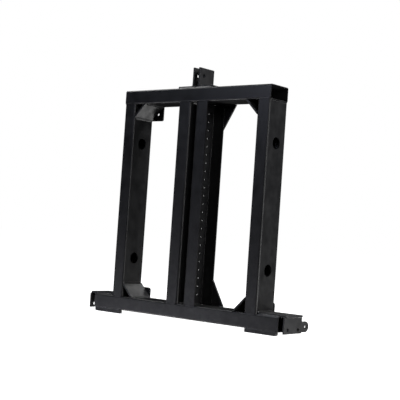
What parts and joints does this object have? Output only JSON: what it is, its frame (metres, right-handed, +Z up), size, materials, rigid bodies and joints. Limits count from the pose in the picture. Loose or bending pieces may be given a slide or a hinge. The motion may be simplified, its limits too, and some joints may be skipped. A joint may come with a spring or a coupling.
{
  "type": "pallet fork frame",
  "caption": "Upright welded frame of rectangular tube with a slotted centre mast, corner braces, a top link clevis and lower link lugs, for carrying pallet forks.",
  "frame": {"origin": "bottom centre of the whole frame's box", "axes": "+X to the right seen from the front, +Y to the back, +Z up"},
  "size_m": [0.895, 0.1526, 0.8978],
  "materials": {
    "frame_paint": "satin black powder coat"
  },
  "bodies": {
    "root": {"top_beam": "frame_paint", "bottom_bar": "frame_paint", "hitch_base_plate": "frame_paint", "post_right": "frame_paint", "post_left": "frame_paint", "mast_channel_right": "frame_paint", "mast_channel_left": "frame_paint", "mast_gusset_upper_right": "frame_paint", "mast_gusset_upper_left": "frame_paint", "mast_gusset_lower_right": "frame_paint", "mast_gusset_lower_left": "frame_paint", "corner_brace_upper_right": "frame_paint", "corner_brace_upper_left": "frame_paint", "corner_brace_lower_right": "frame_paint", "corner_brace_lower_left": "frame_paint", "rear_tab_right": "frame_paint", "rear_tab_left": "frame_paint", "rear_foot_plate_right": "frame_paint", "rear_foot_plate_left": "frame_paint", "hitch_ear_right": "frame_paint", "hitch_ear_left": "frame_paint", "bracket_top_plate_right": "frame_paint", "bracket_top_plate_left": "frame_paint", "bracket_side_plate_right": "frame_paint", "bracket_side_plate_left": "frame_paint", "link_lug_right": "frame_paint", "link_lug_left": "frame_paint", "front_lip_right": "frame_paint", "front_lip_left": "frame_paint"}
  },
  "joints": []
}
